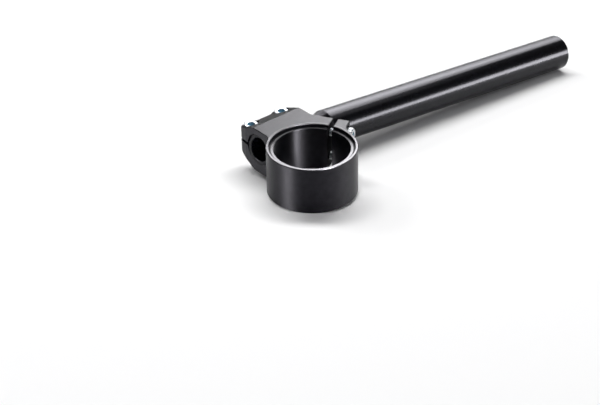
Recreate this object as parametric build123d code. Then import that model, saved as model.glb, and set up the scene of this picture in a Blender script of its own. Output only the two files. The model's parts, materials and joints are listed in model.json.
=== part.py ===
"""Clip-on handlebar: a clamp body machined from one block, a bar with a turned-down end and four screws.

The origin is the middle of the fork bore. +Z runs along the fork towards the recessed face, and the bar
leaves the clamp towards +X, drooping below the plane square to the fork.
"""
from build123d import *
from math import acos, atan2, cos, hypot, radians, sin, sqrt, tan
import os

# Fork ring
fork_dia = 43.0  # fork tube that the ring grips
ring_wall = 4.25
ring_height = 28.0
recess_width = 2.6  # step turned round the upper end of the bore
recess_depth = 1.5
edge_break = 0.3  # chamfer on the machined edges

# Bar
bar_dia = 22.0
bar_bore_dia = 14.0
spigot_dia = 19.0  # turned-down end that the block grips
bar_droop = 6.0  # degrees below the plane square to the fork
bar_reach = 240.0  # from the fork axis to the outer end, measured along the bar
neck_length = 10.7  # turned-down length that shows outside the block
neck_taper = 4.2  # cone between the neck and the full diameter
bar_clearance = 0.05  # round the spigot, before the screws are tightened
bar_end_break = 0.8
bar_inset = 0.6  # middle of the clamped end, in from the block's left face

# Block that grips the bar
fork_to_bar_wall = 1.95  # metal left between the fork bore and the hole for the bar
pinch_pitch = 22.6
pinch_middle = 5.6  # middle of the two pinch screws, from the fork axis
pinch_wall = 1.6  # metal left between the hole for the bar and the screw holes
pinch_slit = 2.0
lug_radius = 5.7  # rounded lug round each pinch screw
cheek = 0.5  # left face of the block, proud of the left lug
cheek_end = 2.5  # where the left face starts to lean in to the lug, short of the screw axis
waist_reach = 2.0  # end of the block between the lugs, past the screw axes
waist_fillet = 4.0
slope_start = 4.3  # where the upper and lower faces start to slope in, past the bar axis
upper_slope = 22.5
lower_slope = 30.0

# Ears that close the ring
slit_angle = 30.0
slit_offset = 3.0  # middle of the slit from the radial plane at that angle
slit_width = 3.0
ear_reach = 7.05  # outer face of both ears, past the outside of the ring
ear_thickness = 6.85
ear_screw_edge = 5.0  # screw axes from the ears' outer face
ear_screw_pitch = 15.4
side_fillet = 6.0
shoulder_fillet = 8.0
ear_fillet = 9.3  # between the loose ear and the outside of the ring
spotface_dia = 10.4  # seat of an ear screw, open at the ear's outer face
spotface_depth = 1.3

# Cap screws
screw_dia = 5.0
head_dia = 8.5
head_height = 5.0
head_break = 0.5
socket_across_flats = 4.0
socket_depth = 2.5
tip_break = 0.8
pinch_screw_length = 12.0
ear_screw_length = 16.0
tapped_extra = 2.5  # tapped hole past the tip of an ear screw
screw_clearance = 0.25  # round the shank in a plain hole
thread_clearance = 0.05  # round the shank in a tapped hole
head_clearance = 0.5  # round the head in its counterbore

# Sizes that follow
fork_r = fork_dia / 2
ring_r = fork_r + ring_wall
half_height = ring_height / 2
bar_r = bar_dia / 2
spigot_r = spigot_dia / 2
bar_hole_r = spigot_r + bar_clearance
plain_hole_r = screw_dia / 2 + screw_clearance
tapped_hole_r = screw_dia / 2 + thread_clearance
head_r = head_dia / 2
counterbore_r = head_r + head_clearance
bar_offset = fork_r + fork_to_bar_wall + bar_hole_r
pinch_y = bar_offset + bar_hole_r + pinch_wall + plain_hole_r
pinch_xs = (pinch_middle - pinch_pitch / 2, pinch_middle + pinch_pitch / 2)
block_left = pinch_xs[0] - lug_radius - cheek
block_right = pinch_xs[1] + lug_radius
waist_y = pinch_y + waist_reach
block_end = pinch_y + lug_radius
slope_y = bar_offset + slope_start
pinch_head_top = half_height - (pinch_y - slope_y) * tan(radians(upper_slope))
pinch_seat = pinch_head_top - head_height
ear_face = ring_r + ear_reach
slit_low, slit_high = slit_offset - slit_width / 2, slit_offset + slit_width / 2
ear_side = slit_high + ear_thickness
ear_seat = ear_side - spotface_depth
ear_screw_reach = ear_face - ear_screw_edge
ear_screw_zs = (-ear_screw_pitch / 2, ear_screw_pitch / 2)
beyond = 2 * (block_end + ring_r)  # longer than the clamp body in any direction

# The slit's own axes: x out along the slit, y from the block across to the loose ear
slit_plane = Plane(
    origin=(0, 0, 0),
    x_dir=(cos(radians(slit_angle)), sin(radians(slit_angle)), 0),
    z_dir=(0, 0, -1),
)
# The bar's own axes: z out along the bar, from the point nearest the fork axis
bar_plane = Plane(
    origin=(0, bar_offset, 0),
    x_dir=(0, 1, 0),
    z_dir=(cos(radians(bar_droop)), 0, -sin(radians(bar_droop))),
)


def on_slit(out, across):
    """A point given along and across the slit, in the part's frame."""
    point = slit_plane.from_local_coords(Vector(out, across, 0))
    return point.X, point.Y


def box_between(x_range, y_range, z_range):
    """A box between two corners."""
    size = [high - low for low, high in (x_range, y_range, z_range)]
    middle = [(high + low) / 2 for low, high in (x_range, y_range, z_range)]
    return Pos(*middle) * Box(*size)


def nearest(vertices, x, y):
    """The vertex nearest a point of the outline."""
    return min(vertices, key=lambda v: (v.X - x) ** 2 + (v.Y - y) ** 2)


def round_corner(outline, x, y, radius):
    """The outline with one corner rounded."""
    return fillet(nearest(outline.vertices(), x, y), radius)


def clamp_outline():
    """Plan of the clamp body: ring, block with two lugs and ears, with its inner corners rounded."""
    cheek_y = pinch_y - cheek_end
    lean = acos(lug_radius / hypot(lug_radius + cheek, cheek_end))
    touch = atan2(-cheek_end, -lug_radius - cheek) - lean
    touch_x, touch_y = pinch_xs[0] + lug_radius * cos(touch), pinch_y + lug_radius * sin(touch)
    sides = [(block_left, 0), (block_left, cheek_y), (touch_x, touch_y), (pinch_xs[0], pinch_y)]
    block = make_face(Polyline(*sides, (block_right, pinch_y), (block_right, 0), close=True))
    waist = Pos(pinch_middle, waist_y / 2) * Rectangle(pinch_pitch, waist_y)
    lugs = [Pos(x, pinch_y) * Circle(lug_radius) for x in pinch_xs]
    shoulder_y = (ear_face - block_right * cos(radians(slit_angle))) / sin(radians(slit_angle))
    shoulder = slit_plane.to_local_coords(Vector(block_right, shoulder_y, 0)).Y
    tips = [on_slit(ear_face, ear_side), on_slit(ear_face, shoulder)]
    ears = make_face(Polyline(on_slit(0, ear_side), *tips, (0, shoulder_y), close=True))
    outline = Circle(ring_r) + block + waist + lugs + ears
    outline = round_corner(outline, block_left, sqrt(ring_r**2 - block_left**2), side_fillet)
    outline = round_corner(outline, block_right, shoulder_y, shoulder_fillet)
    outline = round_corner(outline, *on_slit(sqrt(ring_r**2 - ear_side**2), ear_side), ear_fillet)
    lug_side = sqrt(lug_radius**2 - waist_reach**2)
    for x in (pinch_xs[0] + lug_side, pinch_xs[1] - lug_side):
        outline = round_corner(outline, x, waist_y, waist_fillet)
    return outline


def slope_cut(angle):
    """Wedge that slopes the upper face towards the pinch screws."""
    fallen = half_height - (beyond - slope_y) * tan(radians(angle))
    profile = Polyline((slope_y, half_height), (beyond, half_height), (beyond, fallen), close=True)
    return extrude(Plane.YZ * make_face(profile), beyond, both=True)


def is_upright(edge):
    """Whether an edge runs parallel to the fork."""
    return abs((edge @ 1 - edge @ 0).Z) > 0.999 * edge.length


def clamp_blank():
    """The clamp body before its holes and slits, with its edges broken."""
    blank = extrude(clamp_outline(), half_height, both=True)
    blank -= slope_cut(upper_slope)
    blank -= mirror(slope_cut(lower_slope), Plane.XY)
    walls = [face for face in blank.faces() if abs(face.normal_at().Z) < 0.01]
    rims = [edge for face in walls for edge in face.edges() if not is_upright(edge)]
    return chamfer(rims, edge_break)


def fork_bore():
    """The bore for the fork, with the recess at its upper end."""
    step_z = half_height - recess_depth
    recess_r = fork_r + recess_width
    profile = Polyline(
        (0, -beyond),
        (fork_r + edge_break, -beyond),
        (fork_r + edge_break, -half_height),
        (fork_r, edge_break - half_height),
        (fork_r, step_z - edge_break),
        (fork_r + edge_break, step_z),
        (recess_r, step_z),
        (recess_r, half_height - edge_break),
        (recess_r + edge_break, half_height),
        (recess_r + edge_break, beyond),
        (0, beyond),
        close=True,
    )
    return revolve(Plane.XZ * make_face(profile), Axis.Z)


def pinch_hole(x):
    """Counterbore, plain hole and tapped hole for one pinch screw."""
    up = (Align.CENTER, Align.CENTER, Align.MIN)
    counterbore = Pos(0, 0, pinch_seat) * Cylinder(counterbore_r, beyond, align=up)
    plain = Cylinder(plain_hole_r, beyond, align=up)
    tapped = Cylinder(tapped_hole_r, beyond)
    return Pos(x, pinch_y) * (counterbore + plain + tapped)


def ear_hole(z):
    """Spotface, plain hole and blind tapped hole for one ear screw."""
    axis = slit_plane * Pos(ear_screw_reach, 0, z) * Rot(-90, 0, 0)
    up = (Align.CENTER, Align.CENTER, Align.MIN)
    spotface = Pos(0, 0, ear_seat) * Cylinder(spotface_dia / 2, beyond, align=up)
    plain = Pos(0, 0, slit_offset) * Cylinder(plain_hole_r, beyond, align=up)
    depth = ear_screw_length + tapped_extra
    tapped = Pos(0, 0, ear_seat - depth) * Cylinder(tapped_hole_r, depth, align=up)
    return axis * (spotface + plain + tapped)


def clamp_body():
    """The clamp body: the blank with its bores, slits and screw holes."""
    body = clamp_blank() - fork_bore()
    body -= bar_plane * Cylinder(bar_hole_r, beyond)
    body -= bar_plane * box_between((0, beyond), (-pinch_slit / 2, pinch_slit / 2), (-beyond, beyond))
    body -= slit_plane * box_between((0, beyond), (slit_low, slit_high), (-beyond, beyond))
    for x in pinch_xs:
        body -= pinch_hole(x)
    for z in ear_screw_zs:
        body -= ear_hole(z)
    return body


def bar():
    """The bar: spigot, neck, cone and grip tube, bored through."""
    start = (block_left + bar_inset) / cos(radians(bar_droop))
    cone = block_right / cos(radians(bar_droop)) + neck_length
    full = cone + neck_taper
    bore_r = bar_bore_dia / 2
    profile = Polyline(
        (bore_r, start + edge_break),
        (bore_r + edge_break, start),
        (spigot_r - edge_break, start),
        (spigot_r, start + edge_break),
        (spigot_r, cone),
        (bar_r, full),
        (bar_r, bar_reach - bar_end_break),
        (bar_r - bar_end_break, bar_reach),
        (bore_r + edge_break, bar_reach),
        (bore_r, bar_reach - edge_break),
        close=True,
    )
    return bar_plane * revolve(Plane.XZ * make_face(profile), Axis.Z)


def cap_screw(length):
    """A cap screw that points down, with the underside of its head at the origin."""
    up = (Align.CENTER, Align.CENTER, Align.MIN)
    profile = Polyline(
        (0, -length),
        (screw_dia / 2 - tip_break, -length),
        (screw_dia / 2, tip_break - length),
        (screw_dia / 2, 0),
        (head_r, 0),
        (head_r, head_height - head_break),
        (head_r - head_break, head_height),
        (0, head_height),
        close=True,
    )
    screw = revolve(Plane.XZ * make_face(profile), Axis.Z)
    flats = RegularPolygon(socket_across_flats / 2, 6, major_radius=False)
    return screw - Pos(0, 0, head_height - socket_depth) * extrude(flats, beyond)


def pinch_screws():
    """The two screws that close the block on the bar."""
    screw = cap_screw(pinch_screw_length)
    return [Pos(x, pinch_y, pinch_seat) * screw for x in pinch_xs]


def ear_screws():
    """The two screws that close the ring on the fork."""
    screw = cap_screw(ear_screw_length)
    return [
        slit_plane * Pos(ear_screw_reach, ear_seat, z) * Rot(-90, 0, 0) * screw
        for z in ear_screw_zs
    ]


os.makedirs("parts", exist_ok=True)
export_step(clamp_body(), "parts/clamp_body.step")
export_step(bar(), "parts/bar.step")
export_step(Compound(children=pinch_screws()), "parts/pinch_screws.step")
export_step(Compound(children=ear_screws()), "parts/ear_screws.step")
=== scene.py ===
import json
from math import cos, pi, radians, sin

import bpy
from mathutils import Matrix, Vector

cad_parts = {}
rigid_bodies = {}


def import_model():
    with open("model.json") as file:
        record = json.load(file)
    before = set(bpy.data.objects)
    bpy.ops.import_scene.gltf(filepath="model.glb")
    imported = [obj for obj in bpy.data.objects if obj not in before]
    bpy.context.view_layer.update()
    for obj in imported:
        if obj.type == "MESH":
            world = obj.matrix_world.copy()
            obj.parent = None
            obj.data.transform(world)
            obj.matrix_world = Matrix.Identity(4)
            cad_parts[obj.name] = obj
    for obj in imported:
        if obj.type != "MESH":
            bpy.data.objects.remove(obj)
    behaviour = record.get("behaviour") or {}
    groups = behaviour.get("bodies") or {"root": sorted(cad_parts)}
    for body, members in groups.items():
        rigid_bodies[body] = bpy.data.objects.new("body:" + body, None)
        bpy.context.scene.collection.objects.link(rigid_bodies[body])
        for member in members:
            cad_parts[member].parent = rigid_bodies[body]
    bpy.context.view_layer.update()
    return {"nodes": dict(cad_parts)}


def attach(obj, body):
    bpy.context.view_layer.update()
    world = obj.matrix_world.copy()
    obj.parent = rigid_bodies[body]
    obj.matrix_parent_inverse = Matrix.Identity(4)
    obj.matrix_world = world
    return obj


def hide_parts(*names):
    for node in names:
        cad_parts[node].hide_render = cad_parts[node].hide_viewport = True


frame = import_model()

# Lengths are in metres. The origin is the middle of the fork bore, and +Z runs up the fork.

# The clamp: sizes from the solids, and the rings on its flats that its material tells apart
FORK_RADIUS, RING_RADIUS = 0.0215, 0.02575
TOP_HEIGHT, LEDGE_HEIGHT = 0.014, 0.0125
# The gutter, the outer part of the ledge by the recess wall, is darkened as painted shade.
LAND_MIDDLE, SHADED_GUTTER_MIDDLE, LEDGE_MIDDLE = 0.0249, 0.0236, 0.0221  # radii
EAR_TURN = radians(30)
EAR_OUT = Vector((cos(EAR_TURN), sin(EAR_TURN), 0))
EAR_ACROSS = Vector((sin(EAR_TURN), -cos(EAR_TURN), 0))
SLIT_OFFSET, SLIT_HALF, SLIT_START = 0.003, 0.0015, 0.019
SHEEN_SIDE = (-0.64, -0.767, 0)  # side where the land and the ledge get more gloss: a painted highlight

# Socket cap screws: where their heads stand, and their shape
PINCH_SEAT = 0.0050236
PINCH_SPOTS = ((-0.0057, 0.0469), (0.0169, 0.0469))
EAR_SEAT, EAR_REACH, EAR_LEVELS = 0.01005, 0.0278, (-0.0077, 0.0077)
PINCH_LENGTH, EAR_LENGTH = 0.012, 0.016
SPOKES = 72
SCREW_RADIUS, HEAD_RADIUS, HEAD_HEIGHT = 0.0025, 0.00425, 0.005
SOCKET_HALF, SOCKET_DEPTH = 0.002, 0.0025
SOCKET_RINGS = 3  # bands of faces that line the socket
DRILL_RADIUS, DRILL_DEPTH, DRILL_TIP = 0.0006, 0.0006, 0.0003  # drill point below the socket
KNURL_DEPTH = 0.00014
SHANK_RADIUS, SHANK_LENGTH = SCREW_RADIUS - 0.00005, 0.0007  # plain part below the head
THREAD_PITCH, THREAD_DEPTH, THREAD_STEPS = 0.0008, 0.00042, 8
TIP_RADIUS, TIP_LENGTH, TIP_TAPER = 0.0017, 0.0008, 0.0006
SHARP_ANGLE = radians(28)

# The plane that the part stands on: front edge of the ring and outer end of the bar
FLOOR_UP = Vector((0.0761, 0.0476, 0.9960)).normalized()
FLOOR_HEIGHT = -0.01626
FLOOR_RADIUS, FLOOR_SIDES = 1.6, 96
FLOOR_SHIFT = 0.1  # from the fork's foot to the middle of the disc
BACKDROP_RADIUS = 6.0

# The photograph's camera, from a fit of the part's edges
PHOTO_WIDTH, FOCAL_LENGTH = 600.0, 1747.0  # pixels
SENSOR_WIDTH = 36.0  # millimetres
EYE = (-0.5381, -0.6325, 0.5145)
AHEAD = Vector((0.5384, 0.6440, -0.5436)).normalized()
RIGHT = Vector((0.7612, -0.6483, -0.0141))

# Lights: name, what it lights, direction that it stands in, distance, width, height, watts.
# The low ones stand below the floor, so that flat tops do not mirror them.
SOFTBOXES = (
    ("back_box", "lit_bar", (0.58, 0.45, 0.66), 1.3, 1.0, 0.9, 20.0),
    ("back_box_low", "lit_bar", (0.58, 0.66, 0.47), 1.3, 1.0, 0.8, 10.0),
    ("back_box_high", "lit_bar", (0.55, 0.07, 0.83), 1.3, 1.0, 0.7, 2.4),
    ("back_edge", "lit_bar", (0.70, 0.70, 0.10), 1.6, 2.2, 0.5, 3.0),
    ("back_box_clamp", "lit_clamp", (0.65, 0.37, 0.66), 1.3, 1.0, 0.9, 58.0),
    ("back_box_screws", "lit_screws", (0.58, 0.45, 0.66), 1.3, 1.0, 0.9, 14.0),
    ("right_strip", "lit_bar", (0.61, -0.78, 0.03), 1.2, 0.9, 0.36, 25.0),
    ("right_strip_soft", "lit_bar", (0.61, -0.78, -0.10), 1.2, 0.9, 0.24, 7.0),
    ("side_left", "lit_bar", (-0.55, 0.55, 0.63), 1.2, 0.9, 0.7, 14.0),
    ("side_front", "lit_bar", (-0.30, -0.75, 0.50), 1.2, 0.8, 0.5, 10.0),
    ("right_strip_clamp", "lit_clamp", (0.64, -0.76, -0.18), 1.2, 0.9, 0.36, 40.0),
    ("left_box", "lit_clamp", (-0.972, 0.185, -0.30), 0.7, 0.17, 0.16, 8.3),
    ("left_wide", "lit_clamp", (-0.95, 0.15, -0.20), 0.9, 0.5, 0.4, 24.0),
    ("front_box", "lit_clamp", (0.05, -0.71, 0.70), 1.2, 0.17, 1.3, 228.0),
    ("floor_key", "lit_floor", (0.32, 0.36, 1.0), 2.0, 2.2, 0.5, 46.0),
    ("floor_low", "lit_floor", (-0.20, 0.80, 0.58), 2.4, 0.8, 0.6, 13.0),
    ("floor_fill", "lit_floor", (-0.40, -0.50, 0.75), 2.6, 3.0, 3.0, 14.0),
)
PART_AIM = (0.06, 0.02, 0.0)
OTHER_AIMS = {"left_box": (-0.0243, -0.0082, 0.0)}
BAR_LIGHT = (0.95, 0.945, 1.0)

# Colours, as linear red, green and blue
CLAMP_DARK, CLAMP_PALE = (0.005, 0.005, 0.008), (0.010, 0.010, 0.014)
BAR_DARK, BAR_PALE = (0.004, 0.004, 0.007), (0.008, 0.008, 0.012)
# The land colour is a lighter machined face together with a painted highlight.
# The worn colour is edge wear together with a painted edge highlight.
LAND_AND_HIGHLIGHT_COLOUR, WEAR_AND_HIGHLIGHT_COLOUR = (0.07, 0.07, 0.073), (0.08, 0.08, 0.083)
ZINC_DARK, ZINC_PALE = (0.70, 0.73, 0.77), (0.80, 0.82, 0.84)
# The socket colours are painted shade: darker and bluer than the zinc, inside the hexagon recess.
SOCKET_SHADE_DARK, SOCKET_SHADE_PALE = (0.42, 0.60, 0.72), (0.58, 0.74, 0.82)
FLOOR_COLOUR, BACKDROP_COLOUR = (0.88, 0.88, 0.88), (0.93, 0.93, 0.93)
SURROUND_COLOUR = (0.10, 0.10, 0.105)


def shader_tree(name, kind="ShaderNodeBsdfPrincipled"):
    """A new material, its node tree and its one shader."""
    material = bpy.data.materials.new(name)
    material.use_nodes = True
    tree = material.node_tree
    tree.nodes.clear()
    out = tree.nodes.new("ShaderNodeOutputMaterial")
    shader = tree.nodes.new(kind)
    tree.links.new(shader.outputs[0], out.inputs["Surface"])
    return material, tree, shader


def feed(tree, entry, value):
    """Links an input to a socket, or sets it to a value."""
    if hasattr(value, "is_output"):
        tree.links.new(value, entry)
    else:
        entry.default_value = value


def node(tree, kind, **values):
    """A new node, with its settings and inputs by name."""
    made = tree.nodes.new(kind)
    for key, value in values.items():
        if hasattr(made, key):
            setattr(made, key, value)
        else:
            made.inputs[key].default_value = value
    return made


def noise(tree, vector, scale, detail=2.0, rough=0.5):
    """Noise of a given number of cells per metre."""
    made = node(tree, "ShaderNodeTexNoise", Scale=scale, Detail=detail, Roughness=rough)
    tree.links.new(vector, made.inputs["Vector"])
    return made.outputs["Fac"]


def span(tree, value, low, high, from_low=0.3, from_high=0.7):
    """A value mapped to a range. It is taken for a noise if no range of its own is given."""
    made = tree.nodes.new("ShaderNodeMapRange")
    made.inputs["From Min"].default_value = from_low
    made.inputs["From Max"].default_value = from_high
    made.inputs["To Min"].default_value = low
    made.inputs["To Max"].default_value = high
    tree.links.new(value, made.inputs["Value"])
    return made.outputs["Result"]


def bump(tree, height, strength, distance, normal=None):
    """A bump from a height, on top of another bump if one is given."""
    made = node(tree, "ShaderNodeBump", Strength=strength, Distance=distance)
    tree.links.new(height, made.inputs["Height"])
    if normal is not None:
        tree.links.new(normal, made.inputs["Normal"])
    return made.outputs["Normal"]


def mix_colour(tree, factor, a, b):
    """A colour or socket mixed with a colour by a value."""
    made = tree.nodes.new("ShaderNodeMix")
    made.data_type = "RGBA"
    feed(tree, made.inputs[6], a if hasattr(a, "is_output") else (*a, 1))
    made.inputs[7].default_value = (*b, 1)
    tree.links.new(factor, made.inputs[0])
    return made.outputs[2]


def maths(tree, operation, *values):
    """One step of arithmetic on values or sockets."""
    made = tree.nodes.new("ShaderNodeMath")
    made.operation = operation
    for entry, value in zip(made.inputs, values):
        feed(tree, entry, value)
    return made.outputs["Value"]


def times(tree, a, b):
    """The product of two values or sockets."""
    return maths(tree, "MULTIPLY", a, b)


def plus(tree, base, *terms):
    """A value with shares of masks added to it."""
    for mask, share in terms:
        base = maths(tree, "ADD", base, times(tree, mask, share))
    return base


def vectors(tree, operation, *values):
    """One step of vector arithmetic on vectors or sockets."""
    made = tree.nodes.new("ShaderNodeVectorMath")
    made.operation = operation
    for entry, value in zip(made.inputs, values):
        feed(tree, entry, value)
    return made.outputs["Value" if operation in ("LENGTH", "DOT_PRODUCT") else "Vector"]


def near(tree, value, target, width):
    """1 where a value is at a target, falling to 0 at a given distance from it."""
    gap = maths(tree, "ABSOLUTE", maths(tree, "SUBTRACT", value, target))
    return span(tree, gap, 1.0, 0.0, width * 0.6, width)


def surface(tree):
    """Place and direction of a point on the surface."""
    place = tree.nodes.new("ShaderNodeTexCoord").outputs["Object"]
    return place, tree.nodes.new("ShaderNodeNewGeometry").outputs["Normal"]


def edge_wear_and_highlight(tree, facing, speckle):
    """1 along sharp edges, broken up by a noise."""
    # The mask paints both edge wear and a bright edge highlight.
    rounded = node(tree, "ShaderNodeBevel", samples=6, Radius=0.0003).outputs["Normal"]
    edge = span(tree, vectors(tree, "DOT_PRODUCT", rounded, facing), 1.0, 0.0, 0.80, 0.99)
    return times(tree, edge, span(tree, speckle, 0.2, 1.0))


def clamp_zones(tree, place):
    """Masks of the clamp's turned and sawn surfaces, and of where shade or a highlight is
    painted, by name.
    """
    split = tree.nodes.new("ShaderNodeSeparateXYZ")
    tree.links.new(place, split.inputs["Vector"])
    height = split.outputs["Z"]
    radius = vectors(tree, "LENGTH", vectors(tree, "MULTIPLY", place, (1, 1, 0)))
    across = vectors(tree, "DOT_PRODUCT", place, EAR_ACROSS)
    outward = vectors(tree, "DOT_PRODUCT", place, EAR_OUT)
    frontward = vectors(tree, "DOT_PRODUCT", place, SHEEN_SIDE)

    def flat_ring(middle, half, level, band):
        return times(tree, near(tree, radius, middle, half), near(tree, height, level, band))

    offset = maths(tree, "ABSOLUTE", maths(tree, "SUBTRACT", across, SLIT_OFFSET))
    beyond_bore = span(tree, outward, 0.0, 1.0, SLIT_START, SLIT_START + 0.0005)
    return {
        "bore": near(tree, radius, FORK_RADIUS, 0.0004),
        "skin": near(tree, radius, RING_RADIUS, 0.0004),
        "land": flat_ring(LAND_MIDDLE, 0.0013, TOP_HEIGHT, 0.00012),
        "ledge": flat_ring(LEDGE_MIDDLE, 0.0012, LEDGE_HEIGHT, 0.0004),
        "shaded_gutter": flat_ring(SHADED_GUTTER_MIDDLE, 0.0009, LEDGE_HEIGHT, 0.0004),
        # The slit mask also darkens thin bands of the flats along the slit's edges: painted
        # shade.
        "sawn_and_shaded": times(tree, near(tree, offset, SLIT_HALF, 0.0003), beyond_bore),
        "sheen_side": span(tree, frontward, 0.0, 1.0, -0.017, 0.006),
    }


def anodised_clamp():
    """Satin black anodised aluminium: blasted flats, turned ring and bore, sawn slit."""
    material, tree, shader = shader_tree("clamp_anodised_satin")
    place, facing = surface(tree)
    zone = clamp_zones(tree, place)
    fine = noise(tree, place, 4200.0)
    speck = noise(tree, place, 1500.0, 3.0, 0.65)
    broad = noise(tree, place, 260.0, 3.0)
    grooves = noise(tree, vectors(tree, "MULTIPLY", place, (300, 300, 9000)), 1.0)

    # Colour: paler on the edges, less so round the ring, from wear and a painted edge highlight
    wear_and_highlight = edge_wear_and_highlight(tree, facing, speck)
    wear_and_highlight = times(tree, wear_and_highlight, span(tree, zone["skin"], 1.0, 0.15, 0.0, 1.0))
    tone = mix_colour(tree, span(tree, broad, 0.0, 1.0), CLAMP_DARK, CLAMP_PALE)
    # The pale land is a lighter machined face and a painted highlight.
    tone = mix_colour(tree, times(tree, zone["land"], 0.8), tone, LAND_AND_HIGHLIGHT_COLOUR)
    tone = mix_colour(tree, wear_and_highlight, tone, WEAR_AND_HIGHLIGHT_COLOUR)
    tree.links.new(tone, shader.inputs["Base Color"])

    # Gloss: painted highlight on the land and ledge at the camera side, painted shade in the
    # gutter
    rough = span(tree, fine, 0.31, 0.41)
    rough = plus(tree, rough, (zone["skin"], -0.05), (zone["sawn_and_shaded"], 0.25))
    tree.links.new(rough, shader.inputs["Roughness"])
    land = span(tree, times(tree, zone["land"], zone["sheen_side"]), 0.12, 0.46, 0.0, 1.0)
    ledge = times(tree, zone["ledge"], span(tree, zone["sheen_side"], -0.07, 0.34, 0.4, 1.0))
    gloss = maths(tree, "ADD", land, ledge)
    # Less gloss in the slit: a duller sawn face, with painted shade along its edges.
    # More gloss on the edges: a painted edge highlight.
    gloss = plus(tree, gloss, (wear_and_highlight, 0.12), (zone["shaded_gutter"], -0.10), (zone["sawn_and_shaded"], -0.09))
    tree.links.new(gloss, shader.inputs["Specular IOR Level"])
    shader.inputs["Specular Tint"].default_value = (0.93, 0.90, 1.0, 1.0)

    # Grain all over, and the grooves of turning, which stretch the gloss along the fork
    turned = maths(tree, "MAXIMUM", times(tree, zone["skin"], 0.51), zone["bore"])
    grain = bump(tree, fine, 0.16, 0.0001)
    grain = bump(tree, speck, 0.09, 0.0002, grain)
    grain = bump(tree, times(tree, grooves, turned), 0.10, 0.00005, grain)
    tree.links.new(grain, shader.inputs["Normal"])
    around = vectors(tree, "CROSS_PRODUCT", (0, 0, 1), facing)
    around = vectors(tree, "ADD", around, (0.0001, 0, 0))  # never nought on the flats
    tree.links.new(around, shader.inputs["Tangent"])
    tree.links.new(turned, shader.inputs["Anisotropic"])
    shader.inputs["Anisotropic Rotation"].default_value = 0.25
    return material


def anodised_bar():
    """Semi-gloss black anodised tube, paler at its edges from wear and a painted edge highlight.
    """
    material, tree, shader = shader_tree("bar_anodised_gloss")
    place, facing = surface(tree)
    fine = noise(tree, place, 3000.0)
    broad = noise(tree, place, 120.0, 3.0)
    tone = mix_colour(tree, span(tree, broad, 0.0, 1.0), BAR_DARK, BAR_PALE)
    # Paler edges: wear and a painted edge highlight.
    tone = mix_colour(tree, edge_wear_and_highlight(tree, facing, fine), tone, WEAR_AND_HIGHLIGHT_COLOUR)
    tree.links.new(tone, shader.inputs["Base Color"])
    tree.links.new(span(tree, fine, 0.18, 0.22), shader.inputs["Roughness"])
    tree.links.new(bump(tree, fine, 0.03, 0.00005), shader.inputs["Normal"])
    shader.inputs["Specular IOR Level"].default_value = 0.19
    shader.inputs["Specular Tint"].default_value = (0.98, 0.97, 1.0, 1.0)
    return material


def plated_steel(name, dark, pale, smooth, rough):
    """Zinc-plated steel between two colours and two roughnesses."""
    material, tree, shader = shader_tree(name)
    fine = noise(tree, tree.nodes.new("ShaderNodeTexCoord").outputs["Object"], 2500.0, 3.0)
    tone = mix_colour(tree, span(tree, fine, 0.0, 1.0), dark, pale)
    tree.links.new(tone, shader.inputs["Base Color"])
    tree.links.new(span(tree, fine, smooth, rough), shader.inputs["Roughness"])
    shader.inputs["Metallic"].default_value = 1.0
    return material


def dress(name, material):
    """Gives a CAD node a material."""
    slots = frame["nodes"][name].data.materials
    slots.clear()
    slots.append(material)


def hexagon(i):
    """Radius of the socket's hexagon at one spoke."""
    step = (360 * i / SPOKES + 30) % 60 - 30
    return SOCKET_HALF / cos(radians(step))


def screw_rings(length):
    """Rings of a screw from its socket round to its tip: height and radius at each spoke."""
    rings = []

    def ring(height, radius):
        rings.append([(height, radius(i) if callable(radius) else radius) for i in range(SPOKES)])

    # Drill point, hexagon and the round mouth of the socket
    top, floor = HEAD_HEIGHT, HEAD_HEIGHT - SOCKET_DEPTH
    ring(floor - DRILL_DEPTH, DRILL_RADIUS)
    ring(floor, lambda i: hexagon(i) * 0.97)
    ring(floor + 0.00005, hexagon)
    ring(top - 0.0003, hexagon)
    ring(top - 0.0001, lambda i: max(hexagon(i), 0.00215))
    ring(top, 0.00242)
    # Rounded rim, knurled side and underside of the head
    ring(top, 0.00365)
    ring(top - 0.00008, 0.00385)
    ring(top - 0.00045, HEAD_RADIUS - KNURL_DEPTH)
    for height in (top - 0.00055, 0.00075):
        ring(height, lambda i: HEAD_RADIUS - KNURL_DEPTH * (i % 2))
    ring(0.0006, HEAD_RADIUS - KNURL_DEPTH)
    ring(0.0002, HEAD_RADIUS - 0.00010)
    ring(0.0, HEAD_RADIUS - 0.0003)
    # Plain shank, thread and tip
    ring(0.0, SCREW_RADIUS + 0.0001)
    ring(-0.0002, SHANK_RADIUS)
    ring(-SHANK_LENGTH, SHANK_RADIUS)
    count = int((length - SHANK_LENGTH) / THREAD_PITCH * THREAD_STEPS)
    for k in range(1, count):
        height = -SHANK_LENGTH - (length - SHANK_LENGTH) * k / count
        taper = TIP_TAPER * (1 - min(1.0, (height + length) / TIP_LENGTH))

        def thread(i, height=height, taper=taper):
            turn = (height / THREAD_PITCH + i / SPOKES) % 1.0
            crest = min(max(1.6 - abs(turn - 0.5) * 4.0, 0.0), 1.0)
            return SHANK_RADIUS - THREAD_DEPTH * (1 - crest) - taper

        ring(height, thread)
    ring(-length, TIP_RADIUS)
    return rings


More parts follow.
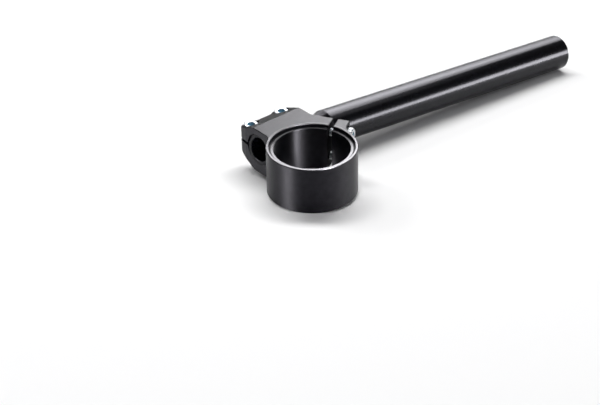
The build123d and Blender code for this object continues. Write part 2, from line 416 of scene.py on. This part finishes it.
def screw_mesh(name, length, seats):
    """One mesh of equal screws, each standing on a seat with its head along a direction."""
    points, faces, sockets = [], [], set()
    rings = screw_rings(length)
    for seat, direction in seats:
        turn = Vector(direction).to_track_quat("Z", "X").to_matrix()
        base = len(points)
        for spokes in rings:
            for i, (height, radius) in enumerate(spokes):
                angle = 2 * pi * i / SPOKES
                spot = Vector((radius * cos(angle), radius * sin(angle), height))
                points.append(Vector(seat) + turn @ spot)
        for r in range(len(rings) - 1):
            a, b = base + r * SPOKES, base + (r + 1) * SPOKES
            for i in range(SPOKES):
                j = (i + 1) % SPOKES
                if r < SOCKET_RINGS:
                    sockets.add(len(faces))
                faces.append((a + i, b + i, b + j, a + j))
        for height in (rings[0][0][0] - DRILL_TIP, rings[-1][0][0]):
            points.append(Vector(seat) + turn @ Vector((0, 0, height)))
        end = base + (len(rings) - 1) * SPOKES
        for i in range(SPOKES):
            j = (i + 1) % SPOKES
            sockets.add(len(faces))
            faces.append((len(points) - 2, base + i, base + j))
            faces.append((len(points) - 1, end + j, end + i))
    mesh = bpy.data.meshes.new(name)
    mesh.from_pydata(points, [], faces)
    mesh.shade_smooth()
    mesh.set_sharp_from_angle(angle=SHARP_ANGLE)
    # Faces lining the socket take the second material, which paints shade into the recess.
    for face in mesh.polygons:
        face.material_index = 1 if face.index in sockets else 0
    return mesh


def fit_screws(name, length, seats, materials):
    """Puts detailed screws in the place of a CAD node."""
    mesh = screw_mesh(name + "_detail", length, seats)
    for material in materials:
        mesh.materials.append(material)
    piece = bpy.data.objects.new(name + "_detail", mesh)
    bpy.context.scene.collection.objects.link(piece)
    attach(piece, "root")
    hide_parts(name)


def make_floor():
    """A plain pale disc under the part."""
    along = (Vector((1, 0, 0)) - FLOOR_UP * FLOOR_UP.x).normalized()
    across = FLOOR_UP.cross(along)
    middle = FLOOR_UP * FLOOR_HEIGHT + along * FLOOR_SHIFT
    angles = [2 * pi * i / FLOOR_SIDES for i in range(FLOOR_SIDES)]
    rim = [middle + (along * cos(a) + across * sin(a)) * FLOOR_RADIUS for a in angles]
    mesh = bpy.data.meshes.new("floor")
    mesh.from_pydata(rim, [], [list(range(FLOOR_SIDES))])
    floor = bpy.data.objects.new("floor", mesh)
    bpy.context.scene.collection.objects.link(floor)
    material, _, shader = shader_tree("floor_paper")
    shader.inputs["Base Color"].default_value = (*FLOOR_COLOUR, 1)
    shader.inputs["Roughness"].default_value = 0.9
    shader.inputs["Specular IOR Level"].default_value = 0.0
    mesh.materials.append(material)
    floor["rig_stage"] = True


def make_backdrop():
    """A pale surround that only the camera sees."""
    bpy.ops.mesh.primitive_uv_sphere_add(segments=48, ring_count=24, radius=BACKDROP_RADIUS)
    dome = bpy.context.object
    dome.name = "backdrop"
    material, _, glow = shader_tree("backdrop_paper", "ShaderNodeEmission")
    glow.inputs["Color"].default_value = (*BACKDROP_COLOUR, 1)
    dome.data.materials.append(material)
    dome.visible_diffuse = False
    dome.visible_glossy = False
    dome.visible_transmission = False
    dome.visible_shadow = False
    dome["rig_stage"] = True


def light_groups():
    """The part, and the groups of pieces that lights are kept to, as collections by name."""
    pieces = bpy.context.scene.objects
    part = [piece for piece in pieces if piece.type == "MESH" and "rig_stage" not in piece]
    members = {
        "lit_part": part,
        "lit_floor": [pieces["floor"]],
        "lit_clamp": [frame["nodes"]["clamp_body"]],
        "lit_bar": [frame["nodes"]["bar"]],
        "lit_screws": [piece for piece in part if piece.name.endswith("_detail")],
    }
    groups = {name: bpy.data.collections.new(name) for name in members}
    for name, group in groups.items():
        for piece in members[name]:
            group.objects.link(piece)
    return groups


def softbox(groups, name, lit, towards, distance, width, height, power):
    """A rectangular light for one group. It gives the part gloss only, and the part blocks it."""
    light = bpy.data.lights.new(name, "AREA")
    light.shape = "RECTANGLE"
    light.size, light.size_y = width, height
    light.energy = power
    if lit == "lit_bar":
        light.color = BAR_LIGHT
    lamp = bpy.data.objects.new(name, light)
    bpy.context.scene.collection.objects.link(lamp)
    aim = Vector(OTHER_AIMS.get(name, PART_AIM))
    lamp.location = aim + Vector(towards).normalized() * distance
    lamp.rotation_euler = (aim - lamp.location).to_track_quat("-Z", "Y").to_euler()
    lamp.visible_camera = False
    lamp.visible_diffuse = lit == "lit_floor"
    lamp.light_linking.receiver_collection = groups[lit]
    lamp.light_linking.blocker_collection = groups["lit_part"]


def make_lights():
    """Soft boxes for the clamp, the bar, the screws and the floor, and a dim surround."""
    groups = light_groups()
    for box in SOFTBOXES:
        softbox(groups, *box)
    world = bpy.data.worlds.new("studio")
    bpy.context.scene.world = world
    world.use_nodes = True
    surround = world.node_tree.nodes["Background"]
    surround.inputs["Color"].default_value = (*SURROUND_COLOUR, 1)


def make_camera():
    """The photograph's camera."""
    camera = bpy.data.cameras.new("camera")
    camera.sensor_fit = "HORIZONTAL"
    camera.sensor_width = SENSOR_WIDTH
    camera.lens = FOCAL_LENGTH * SENSOR_WIDTH / PHOTO_WIDTH
    eye = bpy.data.objects.new("camera", camera)
    bpy.context.scene.collection.objects.link(eye)
    right = (RIGHT - AHEAD * RIGHT.dot(AHEAD)).normalized()
    turn = Matrix((right, right.cross(AHEAD), -AHEAD)).transposed()
    eye.matrix_world = Matrix.Translation(EYE) @ turn.to_4x4()
    bpy.context.scene.camera = eye


dress("clamp_body", anodised_clamp())
dress("bar", anodised_bar())

screw_metals = (
    plated_steel("screw_zinc", ZINC_DARK, ZINC_PALE, 0.22, 0.34),
    # The second material is painted shade for the inside of the sockets.
    plated_steel("screw_socket_shade", SOCKET_SHADE_DARK, SOCKET_SHADE_PALE, 0.25, 0.40),
)
pinch_seats = [((x, y, PINCH_SEAT), (0, 0, 1)) for x, y in PINCH_SPOTS]
ear_middle = EAR_OUT * EAR_REACH + EAR_ACROSS * EAR_SEAT
ear_seats = [(ear_middle + Vector((0, 0, z)), EAR_ACROSS) for z in EAR_LEVELS]
fit_screws("pinch_screws", PINCH_LENGTH, pinch_seats, screw_metals)
fit_screws("ear_screws", EAR_LENGTH, ear_seats, screw_metals)

make_floor()
make_backdrop()
make_lights()
make_camera()
bpy.context.scene.view_settings.view_transform = "Standard"
